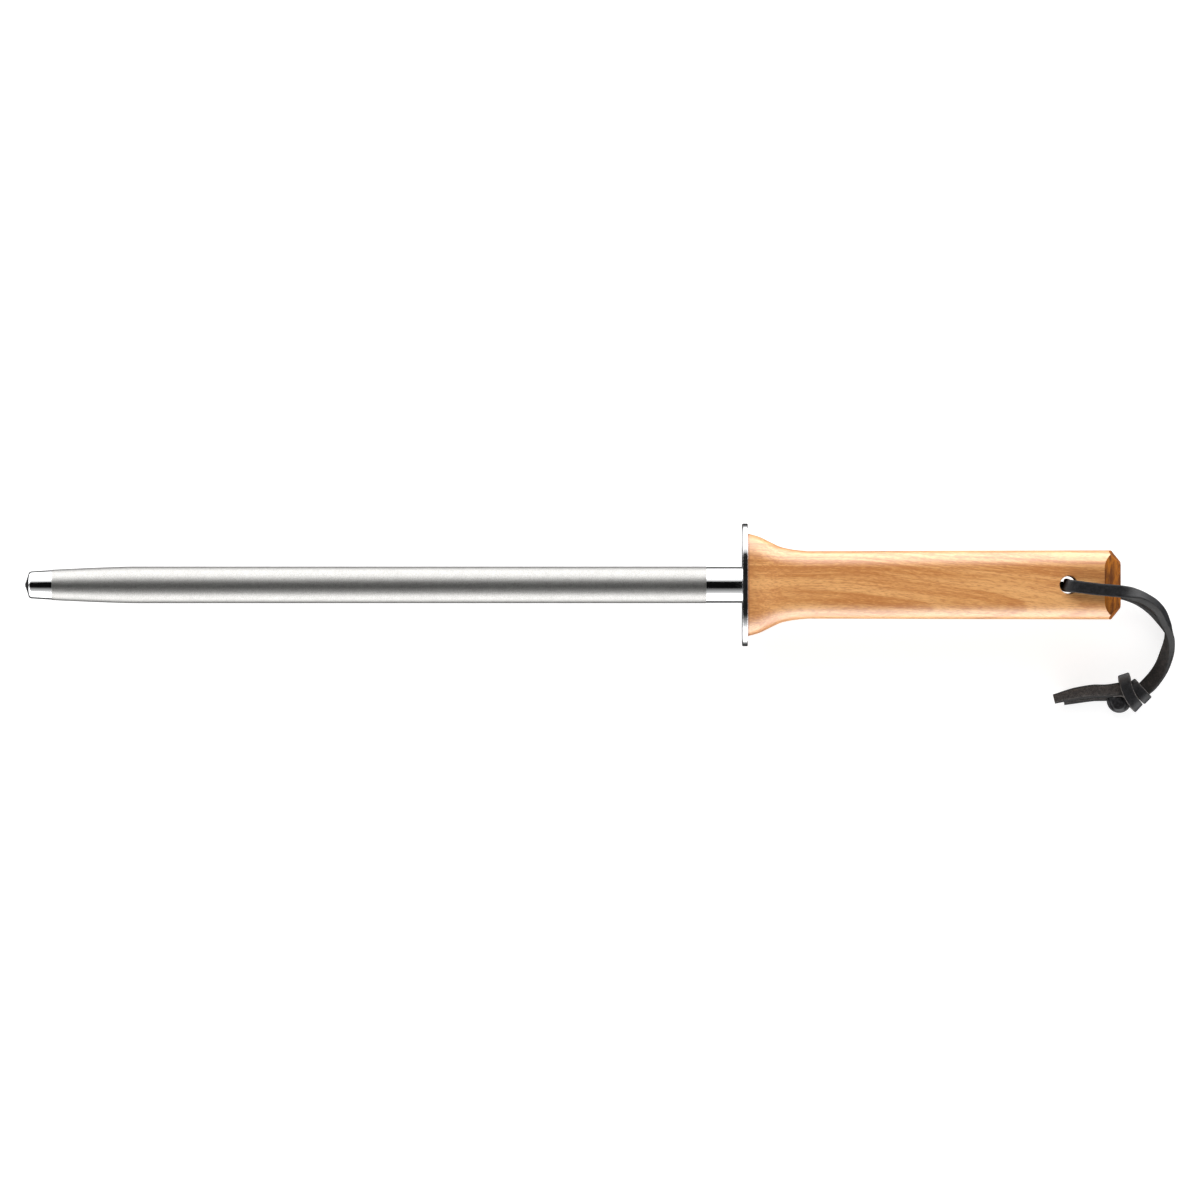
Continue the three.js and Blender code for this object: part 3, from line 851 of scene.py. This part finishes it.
def make_rod():
    """The bar from its tip to the end of its tang, with eased edges."""
    profile = [(0, TIP_X)]
    nose_steps, shoulder_steps = 5, 10
    for i in range(1, nose_steps + 1):
        angle = i / nose_steps * TIP_NOSE_TURN
        profile.append((
            TIP_NOSE_RADIUS * math.sin(angle),
            TIP_X + TIP_NOSE_LENGTH * (1 - math.cos(angle)),
        ))
    for i in range(shoulder_steps + 1):
        angle = i / shoulder_steps * math.pi / 2
        profile.append((
            TIP_CONE_RADIUS + (TIP_SHOULDER_RADIUS - TIP_CONE_RADIUS) * math.sin(angle),
            TIP_X + TIP_CONE_LENGTH + TIP_SHOULDER_LENGTH * (1 - math.cos(angle)),
        ))
    profile.extend(taper_points(0))
    profile.extend([
        (ROD_RADIUS, COAT_END),
        (ROD_RADIUS, GUARD_X - NECK_EASE),
        (ROD_RADIUS - NECK_EASE, GUARD_X),
        (TANG_RADIUS, GUARD_X),
    ])
    for i in range(TANG_GROOVES):
        x = GUARD_X + (TANG_GROOVE_START + TANG_GROOVE_PITCH * i) * MM
        profile.extend([
            (TANG_RADIUS, x),
            (TANG_RADIUS - TANG_GROOVE_DEPTH, x + TANG_GROOVE_DEPTH),
            (TANG_RADIUS - TANG_GROOVE_DEPTH, x + TANG_GROOVE_WIDTH - TANG_GROOVE_DEPTH),
            (TANG_RADIUS, x + TANG_GROOVE_WIDTH),
        ])
    profile.extend([
        (TANG_RADIUS, ROD_HIGH.x - TANG_CHAMFER),
        (TANG_RADIUS - TANG_CHAMFER, ROD_HIGH.x),
        (0, ROD_HIGH.x),
    ])
    return fix_normals(turned("rod", profile, STEEL))


def make_coating():
    """The grit layer, with softly rounded ends."""
    outside = taper_points(COAT_THICKNESS)
    inside = taper_points(-COAT_SINK)
    first_radius = outside[0][0]
    first_rise = 0.004 * MM  # the taper's, over the rounding of the layer's end
    full = ROD_RADIUS + COAT_THICKNESS
    profile = [
        (first_radius - COAT_EASE, COAT_START),
        (first_radius - COAT_EASE * 0.3, COAT_START + COAT_EASE * 0.4),
        (first_radius + first_rise, COAT_START + COAT_EASE * 1.3),
        *outside[1:],
        (full, COAT_END - COAT_EASE * 1.3),
        (full - COAT_EASE * 0.3, COAT_END - COAT_EASE * 0.4),
        (full - COAT_EASE, COAT_END),
        (ROD_RADIUS - COAT_SINK, COAT_END),
        *reversed(inside),
    ]
    return fix_normals(turned("rod_grit_layer", profile, GRIT, closed=True))


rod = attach(make_rod(), "steel")
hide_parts("steel_rod")
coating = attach(make_coating(), "steel")
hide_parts("diamond_coating")


# -------------------------------------- guard

GUARD_CORNER_RADIUS = 12.2 * MM
GUARD_HOLE_RADIUS = 4.15 * MM
GUARD_EASE = 0.25 * MM


def rounded_rectangle(half_y, half_z, radius, arc_steps, flat_y_steps, flat_z_steps):
    """Points round a rectangle with round corners, as (y, z), and the outward direction at each."""
    points, normals = [], []
    corners = ((1, 1, 0), (-1, 1, 90), (-1, -1, 180), (1, -1, 270))
    for index, (side_y, side_z, start) in enumerate(corners):
        centre_y, centre_z = side_y * (half_y - radius), side_z * (half_z - radius)
        for i in range(arc_steps + 1):
            angle = math.radians(start + 90 * i / arc_steps)
            normal = (math.cos(angle), math.sin(angle))
            points.append((centre_y + radius * normal[0], centre_z + radius * normal[1]))
            normals.append(normal)
        next_y, next_z = corners[(index + 1) % 4][:2]
        y, z = points[-1]
        target_angle = math.radians(start + 90)
        target_y = next_y * (half_y - radius) + radius * math.cos(target_angle)
        target_z = next_z * (half_z - radius) + radius * math.sin(target_angle)
        steps = flat_y_steps if index % 2 == 0 else flat_z_steps
        for i in range(1, steps):
            share = i / steps
            points.append((y + share * (target_y - y), z + share * (target_z - z)))
            normals.append((math.cos(target_angle), math.sin(target_angle)))
    return np.array(points), np.array(normals)


def make_guard():
    """A flat plate with round corners, a fine eased rim and the tang's hole."""
    half_y = (GUARD_HIGH.y - GUARD_LOW.y) / 2
    half_z = (GUARD_HIGH.z - GUARD_LOW.z) / 2
    outline, outward = rounded_rectangle(
        half_y, half_z, GUARD_CORNER_RADIUS, arc_steps=24, flat_y_steps=6, flat_z_steps=4
    )
    count = len(outline)
    angles = np.unwrap(np.arctan2(outline[:, 1], outline[:, 0]))
    hole = GUARD_HOLE_RADIUS * np.column_stack([np.cos(angles), np.sin(angles)])
    rim, steps = [], 4
    for i in range(steps + 1):
        angle = i / steps * math.pi / 2
        inset = outline - outward * GUARD_EASE * (1 - math.cos(angle))
        rim.append((GUARD_EASE * (1 - math.sin(angle)), inset))
    rings = [
        (GUARD_LOW.x, hole),
        *((GUARD_LOW.x + depth, inset) for depth, inset in reversed(rim)),
        *((GUARD_HIGH.x - depth, inset) for depth, inset in rim),
        (GUARD_HIGH.x, hole),
    ]
    verts = []
    for x, ring in rings:
        verts.extend((x, y, AXIS_Z + z) for y, z in ring)
    faces = ring_faces(len(rings), count, closed_ends=False)
    last = (len(rings) - 1) * count
    faces.extend((last + i, last + (i + 1) % count, (i + 1) % count, i) for i in range(count))
    return fix_normals(mesh_object("guard", verts, faces, [GUARD_STEEL]))


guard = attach(make_guard(), "steel")
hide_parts("guard_plate")


# -------------------------------------- handle

HANDLE_LENGTH = HANDLE_HIGH.x - HANDLE_LOW.x
HALF_HEIGHT = 11.55 * MM
HALF_DEPTH = 10.0 * MM
CORNER_RADIUS = 6.1 * MM
DEPTH_SHARE = 0.55  # how much of the profile's flare the handle's depth has
# The outline from above: (x, half height) in millimetres from the handle's front.
PROFILE = np.array([
    (0, 17.15), (4, 16.0), (8, 14.06), (12, 12.4), (18.7, 11.4), (27, 11.3), (75, 11.425),
    (HANDLE_LENGTH / MM, 11.55),
]) * MM
PROFILE_STEPS = (5, 5, 5, 5, 5, 5, 24)  # of the mesh, between two points of the outline

# What the chamfers leave of the end face, and how long they are, in millimetres.
BUTT_FACE_HALF_HEIGHT, BUTT_FACE_HALF_DEPTH = 7.7, 4.0
BUTT_SIDE_CHAMFER_LENGTH = 3.1  # of the two narrow sides, each in two facets
BUTT_SIDE_FACET_TILT = math.radians(9)
BUTT_FACE_CHAMFER_LENGTH = 5.6  # of the two broad sides
BUTT_ZONE = 8 * MM  # the stretch that all of these cuts lie in
BUTT_CUT_AREA = 4e-6  # a cut face smaller than this, in square metres, is an eased edge
HANDLE_EASE = 0.22 * MM

THONG_HOLE_RADIUS, THONG_HOLE_EASE = 2.9 * MM, 0.35 * MM
THONG_HOLE_PAST = 2 * MM  # how far the cutter stands out of the handle
BORE_RADIUS, BORE_END = 4.6 * MM, 84 * MM  # the end is from the guard's front
BORE_PAST = 5 * MM
SURFACE_OVERLAP = 0.02 * MM  # the rounded mouth starts this far under the surface


def profile_at(t):
    """The handle's outline at t from 0 at the guard to 1 at the butt, as (x, half height)."""
    last = len(PROFILE) - 1
    at = t * last
    i = min(int(at), last - 1)
    s = at - i
    p0, p1, p2, p3 = (PROFILE[min(max(k, 0), last)] for k in (i - 1, i, i + 1, i + 2))
    v0, v1 = (p2 - p0) / 2, (p3 - p1) / 2
    cubic = 2 * p1 - 2 * p2 + v0 + v1
    square = -3 * p1 + 3 * p2 - 2 * v0 - v1
    return cubic * s**3 + square * s**2 + v0 * s + p1


def handle_blank():
    """The swept bar, before the butt is cut and the holes are drilled."""
    section, _ = rounded_rectangle(
        HALF_HEIGHT, HALF_DEPTH, CORNER_RADIUS, arc_steps=12, flat_y_steps=6, flat_z_steps=4
    )
    shares = []
    for segment, steps in enumerate(PROFILE_STEPS):
        shares.extend((segment + i / steps) / (len(PROFILE) - 1) for i in range(steps))
    shares.append(1.0)
    verts = []
    for t in shares:
        x, half = profile_at(t)
        depth = HALF_DEPTH + DEPTH_SHARE * (half - HALF_HEIGHT)
        verts.extend(
            (HANDLE_LOW.x + x, y * half / HALF_HEIGHT, AXIS_Z + z * depth / HALF_DEPTH)
            for y, z in section
        )
    return verts, ring_faces(len(shares), len(section))


def butt_planes():
    """The flat cuts of the butt, as (point, outward normal)."""
    planes = []
    face_rise = HALF_DEPTH / MM - BUTT_FACE_HALF_DEPTH
    side_rise = HALF_HEIGHT / MM - BUTT_FACE_HALF_HEIGHT
    slope = math.hypot(side_rise, BUTT_SIDE_CHAMFER_LENGTH) * math.tan(BUTT_SIDE_FACET_TILT)
    for side in (-1, 1):
        planes.append((
            Vector((BUTT_X, 0, AXIS_Z + side * BUTT_FACE_HALF_DEPTH * MM)),
            Vector((face_rise, 0, side * BUTT_FACE_CHAMFER_LENGTH)).normalized(),
        ))
        for tilt in (-1, 1):
            planes.append((
                Vector((BUTT_X, side * BUTT_FACE_HALF_HEIGHT * MM, AXIS_Z)),
                Vector((side_rise, side * BUTT_SIDE_CHAMFER_LENGTH, tilt * slope)).normalized(),
            ))
    return planes


def turned_about_z(name, profile, x, segments=72):
    """A round cutter that stands upright at x, from (radius, z) points."""
    verts = []
    for radius, z in profile:
        for i in range(segments):
            angle = 2 * math.pi * i / segments
            verts.append((x + radius * math.cos(angle), radius * math.sin(angle), z))
    return fix_normals(mesh_object(name, verts, ring_faces(len(profile), segments), [BEECH]))


def cut_with(obj, cutter):
    """Takes the cutter's shape out of obj, and deletes the cutter."""
    modifier = obj.modifiers.new("cut", "BOOLEAN")
    modifier.operation = "DIFFERENCE"
    modifier.solver = "EXACT"
    modifier.object = cutter
    apply_modifiers(obj)
    bpy.data.objects.remove(cutter)


def apply_modifiers(obj):
    evaluated = obj.evaluated_get(bpy.context.evaluated_depsgraph_get())
    mesh = bpy.data.meshes.new_from_object(evaluated)
    obj.modifiers.clear()
    old = obj.data
    obj.data = mesh
    bpy.data.meshes.remove(old)


def thong_hole_cutter():
    """The hole's shape, opening in a rounded mouth at both ends."""
    radius, ease = THONG_HOLE_RADIUS, THONG_HOLE_EASE
    half = HALF_DEPTH - SURFACE_OVERLAP
    upper = [
        (radius, half - ease * 1.3),
        (radius + ease * 0.3, half - ease * 0.45),
        (radius + ease * 0.9, half - ease * 0.1),
        (radius + ease + THONG_HOLE_PAST, half + THONG_HOLE_PAST),
    ]
    profile = [(r, AXIS_Z - height) for r, height in reversed(upper)]
    profile += [(r, AXIS_Z + height) for r, height in upper]
    return turned_about_z("hole_cutter", profile, HOLE_X)


def make_handle():
    """The swept bar with its butt cut, its edges eased and its holes drilled."""
    verts, faces = handle_blank()
    materials = [BEECH, END_GRAIN, CUT_EDGE]
    obj = fix_normals(mesh_object("beech_handle", verts, faces, materials))
    bm = bmesh.new()
    bm.from_mesh(obj.data)
    for point, normal in butt_planes():
        cut = bmesh.ops.bisect_plane(
            bm,
            geom=[*bm.verts, *bm.edges, *bm.faces],
            plane_co=point,
            plane_no=normal,
            clear_outer=True,
        )
        edges = [g for g in cut["geom_cut"] if isinstance(g, bmesh.types.BMEdge)]
        bmesh.ops.contextual_create(bm, geom=edges)
    bmesh.ops.remove_doubles(bm, verts=bm.verts, dist=1e-6)
    bmesh.ops.recalc_face_normals(bm, faces=bm.faces)
    bm.normal_update()
    ease_edges(bm)
    for face in bm.faces:
        if face.calc_center_median().x > BUTT_X - BUTT_ZONE and face.normal.x > 0.1:
            broad = face.normal.x > 0.6 and face.calc_area() > BUTT_CUT_AREA
            face.material_index = materials.index(END_GRAIN if broad else CUT_EDGE)
    bm.to_mesh(obj.data)
    bm.free()
    cut_with(obj, thong_hole_cutter())
    bore_start, bore_end = HANDLE_LOW.x - BORE_PAST, GUARD_X + BORE_END
    cut_with(obj, fix_normals(turned("bore_cutter", [
        (0, bore_start), (BORE_RADIUS, bore_start), (BORE_RADIUS, bore_end), (0, bore_end),
    ], BEECH, segments=64)))
    obj.data.set_sharp_from_angle(angle=math.radians(30))
    return obj


def ease_edges(bm):
    """Rounds the sharp edges of the butt and of the handle's front a little."""
    least = math.radians(20)
    sharp = [e for e in bm.edges if len(e.link_faces) == 2 and e.calc_face_angle(0) > least]
    bmesh.ops.bevel(
        bm,
        geom=sharp,
        offset=HANDLE_EASE,
        offset_type="OFFSET",
        segments=2,
        profile=0.5,
        affect="EDGES",
        clamp_overlap=True,
    )
    bm.normal_update()


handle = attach(make_handle(), "steel")
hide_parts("handle")

frame["nodes"]["tang_adhesive"].data.materials.clear()
frame["nodes"]["tang_adhesive"].data.materials.append(set_epoxy())


# -------------------------------------- floor and light

FLOOR_HALF_SIZE = 30.0
FLOOR_DROP = 0.1 * MM
FLOOR_GREY = (0.4, 0.4, 0.4)
FLOOR_GLOW = 0.78  # the paper is lit from within, so that it stays white beside the steel

STUDIO_STRENGTH = 4.0
BACKDROP = 0.95  # what the camera sees past the floor, in place of the lights
DARK = 0.0008
# Brightness against the angle from straight up in degrees, on the +y side and on the -y side.
UPPER_LIGHT = [
    (0, DARK), (21.5, DARK), (24, 0.16), (30, 0.24), (36, 0.3), (45, 0.5), (52, 1.0),
    (112, 1.0), (128, 0.22), (139, 0.04), (150, 0.01),
]
LOWER_LIGHT = [
    (0, DARK), (21, DARK), (24, 0.035), (31, 0.066), (38, 0.105), (45, 0.145), (52, 0.2),
    (58, 0.26), (65, 1.0), (112, 1.0), (124, 0.14), (138, 0.018), (150, 0.01),
]


def make_floor():
    """Plain paper, which reflections don't see."""
    half = FLOOR_HALF_SIZE
    verts = [(-half, -half, 0), (half, -half, 0), (half, half, 0), (-half, half, 0)]
    s = Shader("floor_paper")
    paper = s.finish(
        Base_Color=FLOOR_GREY,
        Roughness=0.9,
        Emission_Color=(1.0, 1.0, 1.0),
        Emission_Strength=FLOOR_GLOW,
    )
    floor = mesh_object("floor", verts, [(0, 1, 2, 3)], [paper])
    floor.location.z = -FLOOR_DROP
    floor.visible_glossy = False


def make_light():
    """A studio dome: two long soft sources along the steel's sides, with a dark gap overhead."""
    world = bpy.data.worlds.new("studio")
    bpy.context.scene.world = world
    world.use_nodes = True
    world.node_tree.nodes.clear()
    light = Nodes(world.node_tree)
    parts = light.node("ShaderNodeSeparateXYZ")
    light.link(light.node("ShaderNodeTexCoord").outputs["Generated"], parts.inputs[0])
    side, up = parts.outputs[1:3]
    angle = light.math("DEGREES", light.math("ARCTAN2", light.math("ABSOLUTE", side), up))

    def curve(stops):
        """The brightness that (degrees, brightness) stops give at the angle."""
        ramp = light.node("ShaderNodeValToRGB")
        light.link(light.math("DIVIDE", angle, 180.0), ramp.inputs[0])
        elements = ramp.color_ramp.elements
        while len(elements) < len(stops):
            elements.new(0.5)
        for element, (degrees, value) in zip(elements, stops):
            element.position = degrees / 180.0
            element.color = (value, value, value, 1.0)
        return ramp.outputs[0]

    def background(colour, strength):
        node = light.node("ShaderNodeBackground")
        light.put(node.inputs[0], colour)
        node.inputs[1].default_value = strength
        return node.outputs[0]

    pick = light.node("ShaderNodeMix", data_type="RGBA")
    light.link(light.math("GREATER_THAN", side, 0.0), pick.inputs[0])
    light.link(curve(LOWER_LIGHT), pick.inputs[6])
    light.link(curve(UPPER_LIGHT), pick.inputs[7])
    both = light.node("ShaderNodeMixShader")
    light.link(light.node("ShaderNodeLightPath").outputs["Is Camera Ray"], both.inputs[0])
    light.link(background(pick.outputs[2], STUDIO_STRENGTH), both.inputs[1])
    light.link(background((1.0, 1.0, 1.0, 1.0), BACKDROP), both.inputs[2])
    light.link(both.outputs[0], light.node("ShaderNodeOutputWorld").inputs[0])


make_floor()
make_light()
bpy.context.scene.view_settings.view_transform = "Standard"
bpy.context.scene.view_settings.look = "None"
